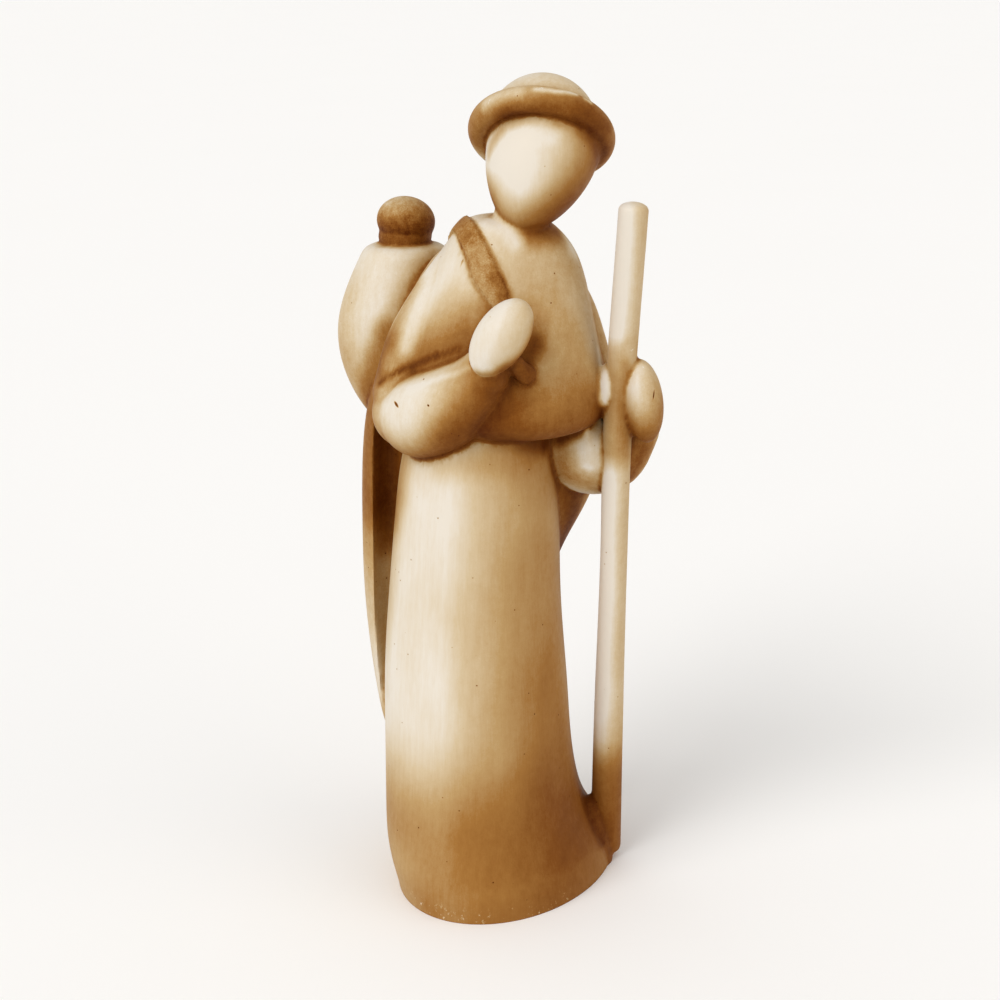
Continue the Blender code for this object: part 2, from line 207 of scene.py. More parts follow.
# The strap over the right shoulder, as its left and right edges from behind the shoulder to the hand
STRAP_LEFT_EDGE = (
    (-13.6, 12.0, 112.5),
    (-10.6, 8.8, 117.0),
    (-9.0, 4.5, 120.8),
    (-7.7, -0.3, 123.4),
    (-6.5, -3.9, 122.0),
    (-5.7, -5.8, 120.5),
    (-5.0, -7.2, 118.6),
    (-4.5, -8.5, 116.6),
    (-3.1, -9.9, 114.6),
    (-0.9, -12.2, 112.2),
    (-0.2, -14.6, 110.6),
)
STRAP_RIGHT_EDGE = (
    (-9.4, 14.0, 112.5),
    (-6.6, 10.6, 118.0),
    (-5.4, 4.6, 123.4),
    (-5.2, -1.5, 126.0),
    (-3.8, -4.6, 124.4),
    (-2.6, -6.5, 122.5),
    (-1.5, -7.7, 120.4),
    (-0.3, -8.8, 118.0),
    (0.9, -10.0, 115.5),
    (1.5, -11.7, 113.4),
    (1.9, -13.6, 111.8),
)
STRAP_RELIEF = 0.7
STRAP_DEPTH = 2.2
STRAP_COLUMNS = 8


def deselect_all():
    if bpy.context.object and bpy.context.object.mode != "OBJECT":
        bpy.ops.object.mode_set(mode="OBJECT")
    bpy.ops.object.select_all(action="DESELECT")


def take(piece):
    """Makes the piece the one that is worked on."""
    deselect_all()
    piece.select_set(True)
    bpy.context.view_layer.objects.active = piece
    return piece


def named(name):
    piece = bpy.context.object
    piece.name = name
    piece.data.name = name
    return piece


def finish_modifier(piece, kind, **settings):
    """Adds a modifier and applies it at once."""
    take(piece)
    modifier = piece.modifiers.new(kind.lower(), kind)
    for setting, value in settings.items():
        setattr(modifier, setting, value)
    bpy.ops.object.modifier_apply(modifier=modifier.name)
    return piece


def turn_selected(turn, centre):
    """Turns what is selected in edit mode by a rotation about a point."""
    for axis, angle in zip("XYZ", turn.to_euler("XYZ")):
        bpy.ops.transform.rotate(value=-angle, orient_axis=axis, orient_type="GLOBAL", center_override=centre)


def drawn_form(name, rings, sides):
    """A closed form drawn through rings: each is extruded from the last, turned its own way and sized.
    A ring is its centre, the way it faces, its half width and its half depth."""
    centre, way, half_width, half_depth = rings[0]
    deselect_all()
    bpy.ops.mesh.primitive_circle_add(
        vertices=sides,
        radius=1.0,
        fill_type="NGON",
        location=centre,
        rotation=way.to_track_quat("Z", "Y").to_euler(),
    )
    piece = named(name)
    bpy.ops.object.transform_apply()
    bpy.ops.object.mode_set(mode="EDIT")
    bpy.ops.mesh.select_all(action="SELECT")
    size = (half_width, half_depth, max(half_width, half_depth))
    bpy.ops.transform.resize(value=size, center_override=centre)
    for next_centre, next_way, next_width, next_depth in rings[1:]:
        bpy.ops.mesh.extrude_region_move(TRANSFORM_OT_translate={"value": next_centre - centre})
        wider, deeper = next_width / half_width, next_depth / half_depth
        bpy.ops.transform.resize(value=(wider, deeper, max(wider, deeper)), center_override=next_centre)
        if next_way != way:
            turn_selected(way.rotation_difference(next_way), next_centre)
        centre, way, half_width, half_depth = next_centre, next_way, next_width, next_depth
    bpy.ops.mesh.select_all(action="SELECT")
    bpy.ops.mesh.normals_make_consistent(inside=False)
    bpy.ops.object.mode_set(mode="OBJECT")
    return piece


def column(name, ovals, turn=0.0):
    """A smooth upright form through horizontal ovals."""
    unturn = Matrix.Rotation(-turn, 3, "Z")
    up_way = Vector((0.0, 0.0, 1.0))
    fit = CAGE_FIT * UNIT
    rings = [
        (unturn @ Vector((across, back, up)) * UNIT, up_way, half_width * fit, half_depth * fit)
        for up, across, back, half_width, half_depth in ovals
    ]
    piece = drawn_form(name, rings, CAGE_SIDES)
    bpy.ops.object.mode_set(mode="EDIT")
    turn_selected(Matrix.Rotation(turn, 3, "Z"), (0.0, 0.0, 0.0))
    bpy.ops.object.mode_set(mode="OBJECT")
    return finish_modifier(piece, "SUBSURF", levels=CAGE_LEVELS, render_levels=CAGE_LEVELS)


def smooth_line(points):
    """Points along a smooth line through the given ones."""
    ends = [Vector(p) for p in points]
    ends = [2 * ends[0] - ends[1]] + ends + [2 * ends[-1] - ends[-2]]
    line = []
    for before, start, finish, after in zip(ends, ends[1:], ends[2:], ends[3:]):
        for i in range(LIMB_STEPS):
            t = i / LIMB_STEPS
            slope = (finish - before) * t
            bend = (2 * before - 5 * start + 4 * finish - after) * t**2
            twist = (3 * start - before - 3 * finish + after) * t**3
            line.append(0.5 * (2 * start + slope + bend + twist))
    line.append(ends[-2])
    return line


def domed(line, start_height, finish_height):
    """The line's centres and radii with a dome's shrinking rings at both ends.
    A dome is as high as a share of the radius that it closes."""
    stations = [(Vector(p[:3]), p[3]) for p in line]
    start, start_radius = stations[0]
    finish, finish_radius = stations[-1]
    start_way = (start - stations[1][0]).normalized()
    finish_way = (finish - stations[-2][0]).normalized()
    for i in range(1, DOME_RINGS):
        angle = math.pi / 2 * i / DOME_RINGS
        out, shrink = math.sin(angle), math.cos(angle)
        stations.insert(0, (start + start_way * start_radius * out * start_height, start_radius * shrink))
        stations.append((finish + finish_way * finish_radius * out * finish_height, finish_radius * shrink))
    return stations


def limb(name, points, start_height=1.0, finish_height=1.0):
    """A round limb along a smooth line through the points, domed at both ends."""
    stations = domed(smooth_line(points), start_height, finish_height)
    centres = [centre for centre, _ in stations]
    rings = []
    for i, (centre, radius) in enumerate(stations):
        way = (centres[min(i + 1, len(centres) - 1)] - centres[max(i - 1, 0)]).normalized()
        rings.append((centre * UNIT, way, radius * UNIT, radius * UNIT))
    return drawn_form(name, rings, LIMB_SIDES)


def left_sleeve():
    piece = limb("left_sleeve", LEFT_SLEEVE)
    bpy.ops.object.mode_set(mode="EDIT")
    bpy.ops.mesh.select_all(action="SELECT")
    middle = (0.0, LEFT_SLEEVE_MIDDLE * UNIT, 0.0)
    bpy.ops.transform.resize(value=(1.0, LEFT_SLEEVE_DEPTH, 1.0), center_override=middle)
    bpy.ops.object.mode_set(mode="OBJECT")
    return piece


def ball(name, shape):
    """A ball narrowed towards its lower end, stretched to its half sizes and turned."""
    centre, half_sizes, narrowing, degrees = shape
    deselect_all()
    bpy.ops.mesh.primitive_uv_sphere_add(segments=BALL_SIDES, ring_count=BALL_SIDES // 2, radius=1.0)
    piece = named(name)
    if narrowing:
        taper = 2.0 * narrowing
        finish_modifier(piece, "SIMPLE_DEFORM", deform_method="TAPER", deform_axis="Z", factor=taper)
    piece.scale = Vector(half_sizes) * UNIT
    piece.rotation_euler = [math.radians(d) for d in degrees]
    piece.location = Vector(centre) * UNIT
    bpy.ops.object.transform_apply()
    return piece


def hat():
    """The bowler, drawn as a turner would: from the crown's top down, round the rolled brim and up inside."""
    profile = []
    for i in range(1, PROFILE_STEPS):
        angle = math.radians(90.0 - CROWN_SWEEP * i / PROFILE_STEPS)
        profile.append((CROWN_RADIUS * math.cos(angle), CROWN_HEIGHT * math.sin(angle)))
    for i in range(PROFILE_STEPS + 1):
        angle = math.radians(BRIM_ROLL_START - BRIM_ROLL_SWEEP * i / PROFILE_STEPS)
        out = BRIM_RADIUS - BRIM_ROLL + BRIM_ROLL * math.cos(angle)
        profile.append((out, BRIM_ROLL * (BRIM_ROLL_STRETCH * math.sin(angle) - BRIM_ROLL_DROP)))
    profile.append((BRIM_RADIUS - 2.0 * BRIM_ROLL, -INSIDE_DEPTH * BRIM_ROLL))
    profile.append((INSIDE_RADIUS * BRIM_ROLL, -INSIDE_DEPTH * BRIM_ROLL))
    down_way = Vector((0.0, 0.0, -1.0))
    rings = []
    for radius, height in profile:
        rings.append((Vector((0.0, 0.0, height)) * MM, down_way, radius * MM, radius * MM))
    piece = drawn_form("hat", rings, HAT_SIDES)
    piece.rotation_euler = [math.radians(d) for d in HAT_TURNS]
    piece.location = Vector(HAT_CENTRE) * UNIT
    bpy.ops.object.transform_apply()
    return piece


def cape():
    """The cape, with the deep groove that parts its front edge from the robe."""
    body = column("cape", CAPE_OVALS)
    groove = column("cape_groove", CAPE_GROOVE_OVALS)
    finish_modifier(body, "BOOLEAN", object=groove, operation="DIFFERENCE", solver="EXACT")
    bpy.data.objects.remove(groove)
    return body


def joined(name, pieces):
    deselect_all()
    for piece in pieces:
        piece.select_set(True)
    bpy.context.view_layer.objects.active = pieces[0]
    bpy.ops.object.join()
    return named(name)


def copied(name, piece):
    take(piece)
    bpy.ops.object.duplicate()
    return named(name)


def strap(body):
    """The strap as a flat band: a strip laid row by row, pressed on to the body and given its thickness."""
    left = smooth_line(STRAP_LEFT_EDGE)
    right = smooth_line(STRAP_RIGHT_EDGE)
    deselect_all()
    bpy.ops.mesh.primitive_grid_add(x_subdivisions=STRAP_COLUMNS, y_subdivisions=len(left) - 1, size=1.0)
    band = named("strap")
    places = sorted({round(v.co.y, 5) for v in band.data.vertices})
    rows = [[v.index for v in band.data.vertices if abs(v.co.y - place) < 0.1 * MM] for place in places]
    for place, row, start, finish in zip(places, rows, left, right):
        for kind in (band.data.polygons, band.data.edges, band.data.vertices):
            for element in kind:
                element.select = False
        for index in row:
            band.data.vertices[index].select = True
        bpy.ops.object.mode_set(mode="EDIT")
        here = Vector((0.0, place, 0.0))
        across = (finish - start) * UNIT
        bpy.ops.transform.resize(value=(across.length, 1.0, 1.0), center_override=here)
        turn_selected(Vector((1.0, 0.0, 0.0)).rotation_difference(across), here)
        bpy.ops.transform.translate(value=(start + finish) / 2 * UNIT - here)
        bpy.ops.object.mode_set(mode="OBJECT")
    pressed = (STRAP_RELIEF - STRAP_DEPTH / 2) * MM
    finish_modifier(
        band,
        "SHRINKWRAP",
        target=body,
        wrap_method="NEAREST_SURFACEPOINT",
        wrap_mode="ABOVE_SURFACE",
        offset=pressed,
    )
    finish_modifier(band, "SOLIDIFY", thickness=STRAP_DEPTH * MM, offset=0.0)
    take(band)
    bpy.ops.object.mode_set(mode="EDIT")
    bpy.ops.mesh.select_all(action="SELECT")
    bpy.ops.mesh.normals_make_consistent(inside=False)
    bpy.ops.object.mode_set(mode="OBJECT")
    return band


def rough_forms():
    """Every form of the figure by name, each closed and overlapping its neighbours."""
    draped = [column("poncho", PONCHO_OVALS), cape(), limb("right_upper_arm", RIGHT_UPPER_ARM)]
    body = joined("body", [copied("body_form", form) for form in draped])
    finish_modifier(body, "REMESH", mode="VOXEL", voxel_size=2.0 * CARVING_VOXEL)
    band = strap(body)
    bpy.data.objects.remove(body)
    return draped + [
        band,
        column("robe", ROBE_OVALS, ROBE_TURN),
        column("sack", SACK_OVALS),
        column("staff_web", STAFF_WEB_OVALS),
        limb("right_forearm", RIGHT_FOREARM),
        limb("left_upper_arm", LEFT_UPPER_ARM),
        left_sleeve(),
        limb("neck", NECK),
        limb("strap_tail", STRAP_TAIL),
        ball("head", HEAD),
        ball("right_hand", RIGHT_HAND),
        ball("right_palm", RIGHT_PALM),
        ball("left_hand", LEFT_HAND),
        ball("left_fingers", LEFT_FINGERS),
        ball("sack_knot", SACK_KNOT),
        ball("sack_knot_neck", SACK_KNOT_NECK),
        hat(),
        limb("staff", STAFF_LINE, start_height=0.45, finish_height=0.5),
    ]


def surface_of(pieces):
    """One searchable surface of all the pieces, and the number of the piece that each face is from."""
    corners, faces, owners = [], [], []
    for number, piece in enumerate(pieces):
        first = len(corners)
        corners += [v.co.copy() for v in piece.data.vertices]
        faces += [[first + i for i in face.vertices] for face in piece.data.polygons]
        owners += [number] * len(piece.data.polygons)
    return BVHTree.FromPolygons(corners, faces), owners


def carve(forms):
    """Fuses the overlapping forms into one closed body, eases its edges and saws it flat at the ground."""
    figure = joined("carved_shepherd", forms)
    finish_modifier(figure, "REMESH", mode="VOXEL", voxel_size=CARVING_VOXEL)
    finish_modifier(figure, "SMOOTH", factor=0.5, iterations=SANDING_PASSES)
    finish_modifier(figure, "DECIMATE", ratio=FINISHED_TRIANGLES / (2.0 * len(figure.data.polygons)))
    bpy.ops.object.mode_set(mode="EDIT")
    bpy.ops.mesh.select_all(action="SELECT")
    bpy.ops.mesh.bisect(
        plane_co=(0.0, 0.0, 0.0),
        plane_no=(0.0, 0.0, -1.0),
        clear_outer=True,
        use_fill=True,
        threshold=SAW_TOLERANCE,
    )
    bpy.ops.mesh.select_all(action="SELECT")
    bpy.ops.mesh.remove_doubles(threshold=WELD)
    bpy.ops.mesh.quads_convert_to_tris()
    bpy.ops.object.mode_set(mode="OBJECT")
    return figure


# Staining and painted shade. The whole figure was toned in thin passes of brown stain, heaviest near the
# ground, with stain and painted shade in the hollows and painted shade towards its left side, which turns
# from the light, and rubbed back where it stands proud. What each form was given: the stain all over, the
# painted shade on what faces its left, and how mottled the stain is.
FORM_STAIN_AND_SHADE = {
    "poncho": (0.07, 0.42, 0.28),
    "cape": (0.32, 0.12, 0.34),
    "right_upper_arm": (0.07, 0.28, 0.35),
    "strap": (0.52, 0.28, 0.85),
    "robe": (0.06, 0.50, 0.14),
    "sack": (0.15, 0.14, 0.35),
    "staff_web": (0.50, 0.30, 0.4),
    "right_forearm": (0.13, 0.28, 0.28),
    "left_upper_arm": (0.16, 0.36, 0.4),
    "left_sleeve": (0.12, 0.26, 0.4),
    "neck": (0.0, 0.30, 0.3),
    "strap_tail": (0.93, 0.30, 0.4),
    "head": (0.01, 0.32, 0.16),
    "right_hand": (0.10, 0.3, 0.2),
    "right_palm": (0.40, 0.30, 0.4),
    "left_hand": (0.12, 0.32, 0.3),
    "left_fingers": (0.0, 0.10, 0.4),
    "sack_knot": (0.36, 0.35, 0.85),
    "sack_knot_neck": (0.80, 0.20, 0.6),
    "hat": (0.18, 0.18, 0.4),
    "staff": (0.0, 0.38, 0.22),
}
FORM_EDGE_PASSES = 2
# Painted side shade sets in where the normal's share across passes this value
SIDE_SHADE_START = -0.3

# Sprayed passes of stain, and of painted shade under and beside parts and on sides turned from the light: how
# strong, how wide in millimetres, the forms that they were kept to or None, and the line that each followed
RIGHT_ARM = ("right_upper_arm", "poncho")
LEFT_ARM = ("left_sleeve", "left_upper_arm", "poncho")
SPRAYED_STAIN_AND_SHADE = (
    # Under the brim and on it, stain; round the face, painted shade down its right side and under the chin
    (0.34, 2.6, ("head", "hat"),
     ((-2.4, -3.0, 137.2), (0.9, -4.8, 142.4), (6.4, -7.8, 144.2), (9.3, -8.0, 143.8))),
    (0.44, 1.7, ("head", "hat"),
     ((9.5, -8.2, 143.0), (12.5, -7.8, 142.2), (15.9, -4.6, 139.1), (16.8, -1.2, 135.3))),
    (0.82, 4.4, ("hat",),
     ((1.5, -6.5, 143.8), (6.6, -8.8, 145.2), (12.4, -8.3, 144.8), (16.8, -5.3, 141.3))),
    (0.84, 5.0, ("hat",), ((14.0, -7.0, 143.5), (17.0, -5.0, 140.8), (18.2, -1.5, 137.0))),
    (0.66, 3.6, ("hat",), ((18.2, -1.5, 136.6), (17.5, 1.3, 135.2), (16.5, 4.0, 135.0))),
    (0.64, 4.8, ("hat",),
     ((-5.0, 2.0, 138.8), (-4.2, -1.2, 141.6), (-1.7, -3.8, 143.4), (1.5, -6.5, 145.0))),
    (0.74, 11.0, ("head",),
     ((17.4, -1.4, 139.0), (17.0, -3.0, 135.0), (14.4, -4.6, 130.0), (10.5, -5.4, 126.0))),
    (0.62, 8.0, ("head",),
     ((11.0, -5.5, 127.5), (7.0, -6.5, 125.0), (2.5, -5.6, 126.0), (-0.3, -3.4, 129.0))),
    (0.30, 4.5, ("head",), ((-2.6, -1.5, 132.0), (-0.5, -3.5, 128.5))),
    # Neck and poncho, down to its hem: painted shadow under the chin, stain with the forearm's painted shadow
    # on the poncho's lower front, and stain with painted shade under the hem's overhang
    (0.64, 4.4, ("poncho", "neck"), ((5.4, -6.3, 124.2), (8.6, -4.4, 124.0), (9.6, -2.0, 123.8))),
    (0.86, 13.0, ("poncho",),
     ((-2.0, -16.5, 93.0), (5.0, -15.0, 91.0), (10.0, -12.0, 90.5), (18.0, -6.0, 92.0))),
    (0.60, 6.5, ("poncho",), ((1.8, -17.0, 100.5), (-0.5, -17.0, 96.0), (-3.0, -16.0, 91.0))),
    (0.92, 3.6, ("poncho", "robe"), ((-4.0, -16.0, 91.2), (3.5, -13.4, 88.6), (8.0, -6.6, 86.8))),
    (0.95, 2.4, None, ((8.0, -6.0, 86.6), (10.7, -4.9, 87.0), (13.3, -6.0, 88.9))),
    (0.85, 2.0, LEFT_ARM, ((13.3, -6.0, 88.9), (15.8, -8.9, 91.5), (17.6, -6.9, 92.2))),
    (0.92, 1.8, ("poncho",),
     ((-3.8, -15.9, 91.8), (0.0, -15.5, 90.8), (3.5, -13.1, 89.4), (8.0, -5.9, 86.8))),
    # Right arm: stain in the crease at the elbow and on the outer side, and painted shade on the forearm's
    # lower side and underside
    (0.78, 1.1, None,
     ((-21.0, -7.0, 98.0), (-17.5, -8.7, 100.6), (-14.0, -9.5, 102.2), (-11.0, -11.2, 103.8))),
    (0.66, 1.1, None, ((-11.0, -11.2, 103.8), (-7.0, -12.5, 105.3))),
    (0.66, 12.0, RIGHT_ARM, ((-13.5, -9.6, 102.0), (-10.0, -11.0, 104.0), (-5.5, -12.2, 107.0))),
    (0.74, 5.6, RIGHT_ARM, ((-20.0, -2.6, 104.0), (-22.0, -3.6, 100.0), (-23.8, -2.8, 95.0))),
    (0.42, 4.4, ("right_upper_arm",), ((-14.5, -0.5, 113.0), (-18.4, -3.3, 107.5), (-18.6, -5.0, 104.4))),
    (0.55, 5.0, ("right_upper_arm", "right_forearm", "poncho"), ((-21.5, -6.6, 98.6), (-24.0, -4.0, 90.0))),
    (0.34, 2.4, ("right_forearm",), ((-17.3, -9.5, 99.4), (-12.0, -11.7, 101.8), (-6.8, -13.4, 104.3))),
    (0.88, 12.0, ("right_forearm",), ((1.0, -18.7, 101.5), (-2.5, -19.0, 96.0), (-6.0, -17.8, 90.0))),
    (0.68, 9.4, ("right_forearm",),
     ((-6.0, -17.8, 89.0), (-10.4, -14.0, 85.8), (-16.0, -11.0, 84.6), (-22.0, -7.0, 87.0))),
    # Raised hand, strap and its tail: painted shadow below and beside the hand, painted shade on the hand's
    # lower rim and the strap's lower right edge, and stain on the strap
    (0.55, 3.8, ("right_hand", "right_palm", "poncho"), ((0.6, -19.6, 102.8), (3.4, -18.4, 104.6))),
    (0.90, 3.0, ("poncho", "strap_tail"), ((6.2, -13.0, 106.5), (4.6, -15.0, 103.5), (1.5, -17.0, 101.0))),
    (0.30, 3.4, ("poncho",), ((5.4, -12.0, 113.5), (6.8, -11.6, 109.5), (6.6, -12.7, 105.0))),
    (0.50, 2.0, ("right_hand",), ((-3.2, -20.6, 103.0), (-1.0, -21.6, 102.6), (1.0, -21.9, 104.0))),
    (0.80, 3.8, ("right_hand",), ((1.5, -21.0, 103.6), (4.4, -19.6, 106.5), (5.0, -19.0, 110.0))),
    (0.60, 4.0, ("strap",), ((-6.6, -0.3, 124.8), (-5.0, -4.2, 123.0))),
    (0.55, 2.8, ("strap",), ((-0.4, -9.2, 117.2), (1.0, -10.6, 114.8), (1.9, -12.4, 112.6))),
    # Left hand and sleeve
    (0.84, 6.8, ("left_sleeve", "left_hand"), ((24.5, -8.0, 87.0), (26.5, -4.0, 84.0), (24.5, -4.0, 79.0))),
    (0.62, 8.0, ("left_hand",), ((22.5, -9.0, 90.5), (27.0, -8.0, 89.5), (28.0, -6.0, 93.0))),
    (0.62, 5.0, ("left_sleeve", "left_upper_arm"),
     ((9.5, -7.0, 86.0), (11.6, -5.0, 80.0), (16.0, -6.0, 77.0))),
    # Robe, the groove beside it, its foot and the staff: painted shade on the robe under the elbow and under
    # the hem, stain with painted shade in the groove, and stain at the foot and on the staff
    (0.60, 3.0, ("robe",), ((-21.5, -6.0, 85.0), (-17.5, -10.0, 85.4), (-13.0, -13.0, 86.2))),
    (0.58, 8.0, ("robe", "cape"), ((-19.6, -4.4, 84.0), (-19.4, -4.0, 78.0), (-20.0, -2.0, 73.0))),
    (0.22, 8.5, ("robe", "cape"), ((-20.0, -2.0, 72.0), (-21.0, -1.0, 50.0))),
    (0.20, 5.0, ("robe",), ((-10.0, -14.0, 85.0), (0.0, -14.0, 86.0), (8.0, -10.5, 84.0))),
    (0.30, 14.0, ("robe", "staff_web"), ((8.0, -12.0, 40.0), (13.0, -12.0, 26.0), (15.0, -12.0, 8.0))),
    (0.34, 12.0, ("robe",), ((-12.0, -20.0, 2.0), (0.0, -21.5, 2.0), (12.0, -16.0, 2.0))),
    (0.14, 4.5, ("robe",), ((-20.0, -7.0, 76.0), (-21.5, -7.0, 60.0), (-23.0, -7.0, 40.0))),
    (0.30, 6.0, ("robe",), ((-25.0, -10.0, 24.0), (-26.0, -10.0, 12.0), (-26.0, -12.0, 0.0))),
    (0.60, 2.6, ("robe", "staff_web", "staff"),
     ((16.0, -0.8, 14.0), (17.4, -1.9, 10.1), (19.4, -2.2, 5.9), (21.7, -0.6, 2.7))),
    (0.54, 5.4, ("staff",), ((20.9, -7.4, 103.0), (20.6, -7.8, 95.0), (20.4, -7.0, 86.0))),
    (0.62, 9.0, ("staff", "staff_web"), ((20.7, 0.5, 19.0), (20.7, 2.5, 2.0))),
    # Cape
    (0.40, 26.0, ("cape",), ((-24.5, 4.0, 92.0), (-24.5, 4.0, 80.0), (-24.0, 6.0, 76.0))),
    (0.72, 8.0, ("cape",), ((-20.5, 3.0, 88.0), (-20.8, 5.0, 80.0), (-21.4, 5.0, 72.0))),
    (0.90, 6.0, ("cape",), ((12.5, 0.5, 78.0), (13.0, 2.0, 70.0), (9.0, 4.0, 62.0))),
    # Sack and knot, and the backs of the cape and head
    (0.20, 3.4, ("sack",),
     ((-12.0, 9.0, 119.0), (-14.6, 6.0, 115.0), (-17.4, 4.6, 110.6), (-20.4, 4.0, 105.0))),
    (0.48, 4.0, ("sack",),
     ((-20.4, 4.0, 105.0), (-22.6, 4.2, 99.5), (-24.4, 6.0, 93.0), (-24.0, 8.0, 88.0))),
    (0.36, 13.0, ("sack",), ((-29.0, 7.0, 94.0), (-20.0, 12.0, 86.0))),
    (0.40, 10.0, ("sack",), ((-26.0, 21.0, 88.0), (-14.0, 24.0, 90.0), (-8.0, 20.0, 100.0))),
    (0.34, 9.0, ("cape", "robe"),
     ((-20.0, 10.0, 24.0), (-8.0, 18.0, 20.0), (6.0, 15.0, 34.0), (16.0, 10.0, 56.0))),
    (0.36, 14.0, ("cape",), ((16.0, 14.0, 100.0), (20.0, 14.0, 80.0), (14.0, 17.0, 60.0))),
    (0.30, 6.0, ("head",), ((14.0, 8.0, 128.0), (6.0, 9.0, 126.0), (0.0, 6.0, 128.0))),
    (0.20, 8.0, ("sack",), ((-29.6, 10.0, 110.0), (-30.0, 10.0, 100.0))),
    (0.95, 6.4, ("sack_knot",),
     ((-12.2, 11.0, 122.6), (-14.2, 9.4, 121.6), (-17.5, 8.6, 121.4), (-21.5, 10.4, 121.8))),
    (0.30, 1.8, ("sack",), ((-13.6, 11.0, 119.0), (-17.3, 9.0, 119.2), (-21.0, 10.6, 119.0))),
)
# Rubbed-back places and painted highlights, in the same terms
RUBBED_AND_HIGHLIGHTS = (
    (0.75, 1.0, ("hat",), ((6.0, -7.8, 148.0), (9.3, -7.9, 147.7), (12.5, -6.6, 147.2))),
    (0.70, 0.8, ("hat",), ((14.1, -6.2, 146.3), (15.0, -6.0, 145.8))),
    (0.50, 2.4, ("head",), ((1.5, -6.0, 137.0), (4.0, -8.0, 140.5), (9.0, -9.0, 140.5))),
    (0.80, 2.8, ("poncho", "neck"), ((-1.5, -4.0, 126.0), (1.6, -6.2, 124.4), (2.6, -7.0, 122.5))),
    (0.60, 3.0, ("poncho", "neck"), ((12.4, 0.0, 124.0), (13.2, -1.5, 120.5))),
    (0.70, 3.1, RIGHT_ARM,
     ((-8.4, -5.3, 117.8), (-11.6, -4.8, 113.8), (-14.0, -6.0, 110.0), (-16.4, -8.0, 104.5))),
    (0.60, 2.4, ("poncho", "right_upper_arm", "right_forearm"),
     ((-4.9, -12.6, 111.0), (-4.6, -15.0, 106.5))),
    (0.60, 1.3, ("right_forearm",), ((-15.4, -13.7, 98.4), (-10.2, -15.8, 101.0), (-4.6, -19.5, 104.3))),
    (0.80, 2.0, ("left_fingers",) + LEFT_ARM,
     ((18.2, -3.2, 103.0), (18.1, -5.3, 99.5), (18.0, -7.4, 95.4))),
    (0.46, 2.4, ("left_fingers",) + LEFT_ARM, ((18.0, -3.5, 90.6), (17.9, -4.6, 88.6), (17.6, -5.9, 86.8))),
    (0.30, 7.0, ("poncho",), ((13.5, -6.0, 112.0), (16.0, -4.2, 106.0), (16.6, -6.0, 100.0))),
    (0.50, 2.6, ("hat",), ((-2.5, -4.6, 145.8), (0.2, -6.5, 147.2), (2.5, -7.5, 147.9))),
    (0.60, 0.8, ("left_sleeve",), ((14.8, -5.7, 82.5), (16.4, -5.8, 82.1))),
    (0.45, 2.4, ("left_hand", "staff"), ((22.6, -8.6, 104.0), (24.0, -8.2, 101.0))),
    (0.50, 3.0, ("left_sleeve",), ((17.0, -7.0, 88.0), (17.2, -6.5, 83.0))),
    (0.45, 5.0, ("cape", "robe"), ((-21.6, 3.9, 60.0), (-22.3, 1.7, 46.0), (-22.6, 1.0, 36.0))),
)
# Worn edges where the stain has flecked off: how wide, the forms or None, and their line
WORN = (
    (3.0, None, ((-16.0, -18.0, 1.5), (-8.0, -22.0, 1.5), (2.0, -22.0, 1.0), (12.0, -15.5, 0.8))),
    (1.6, ("cape",), ((-25.4, 2.5, 97.0), (-25.2, 2.5, 84.0))),
    (1.3, ("left_hand", "staff"), ((23.0, -8.4, 103.5), (24.3, -8.2, 100.6), (24.2, -8.6, 97.0))),
    (1.4, ("right_upper_arm", "poncho", "right_forearm"), ((-4.6, -14.0, 111.5), (-4.6, -16.0, 107.0))),
    (1.2, ("hat",), ((-2.5, -4.2, 145.6), (6.0, -7.8, 148.2), (15.0, -5.9, 146.0))),
)
# Small dark nicks in the sleeve and the knuckle: from, to and half width
NICKS = (
    ((-18.1, -12.8, 96.1), (-17.5, -13.9, 95.5), 0.30),
    ((-13.0, -13.7, 100.3), (-12.8, -13.8, 100.1), 0.22),
    ((-12.2, -17.4, 96.7), (-12.1, -17.5, 96.6), 0.20),
    ((26.7, -9.6, 97.4), (26.5, -10.2, 95.9), 0.20),
)
# Hollows, creases, the brim and the ground: how strong the stain is there, painted shade as well in the
# hollows and creases, and over what depth, width or height in millimetres it comes in
HOLLOW_STAIN_AND_SHADE = 0.55
HOLLOW_DEPTH = 0.9
CREASE_STAIN_AND_SHADE = 0.55
CREASE_DEPTH = 0.16
PROUD_HEIGHT = 0.6
BRIM_STAIN = 0.50
BRIM_STAIN_WIDTH = 4.6
BRIM_LINE_STEPS = 24
GROUND_STAIN = 0.48
GROUND_STAIN_TOP = 37.0
GROUND_STAIN_FULL = 14.0

# How many times the surface is averaged, finely for the creases and broadly for what is hollow or proud
FINE_PASSES = 10
BROAD_PASSES = 110


def brim_line():
    """Points round the middle of the hat's brim."""
    turn = Euler([math.radians(d) for d in HAT_TURNS]).to_matrix()
    out = BRIM_RADIUS - BRIM_ROLL
    line = []
    for i in range(BRIM_LINE_STEPS + 1):
        angle = 2.0 * math.pi * i / BRIM_LINE_STEPS
        line.append(Vector(HAT_CENTRE) + turn @ Vector((out * math.cos(angle), out * math.sin(angle), 0.0)))
    return line


def neighbour_means(values, pairs, counts, passes):
    """The values averaged with their neighbours' along the mesh's edges, pass after pass."""
    first, second = pairs[:, 0], pairs[:, 1]
    columns = values.reshape(len(values), -1).T.copy()
    for _ in range(passes):
        for i, column_values in enumerate(columns):
            total = np.bincount(first, column_values[second], len(counts))
            total += np.bincount(second, column_values[first], len(counts))
            columns[i] = 0.5 * column_values + 0.5 * total / counts
    return columns.T.reshape(values.shape)


def eased(share):
    share = np.clip(share, 0.0, 1.0)
    return share * share * (3.0 - 2.0 * share)


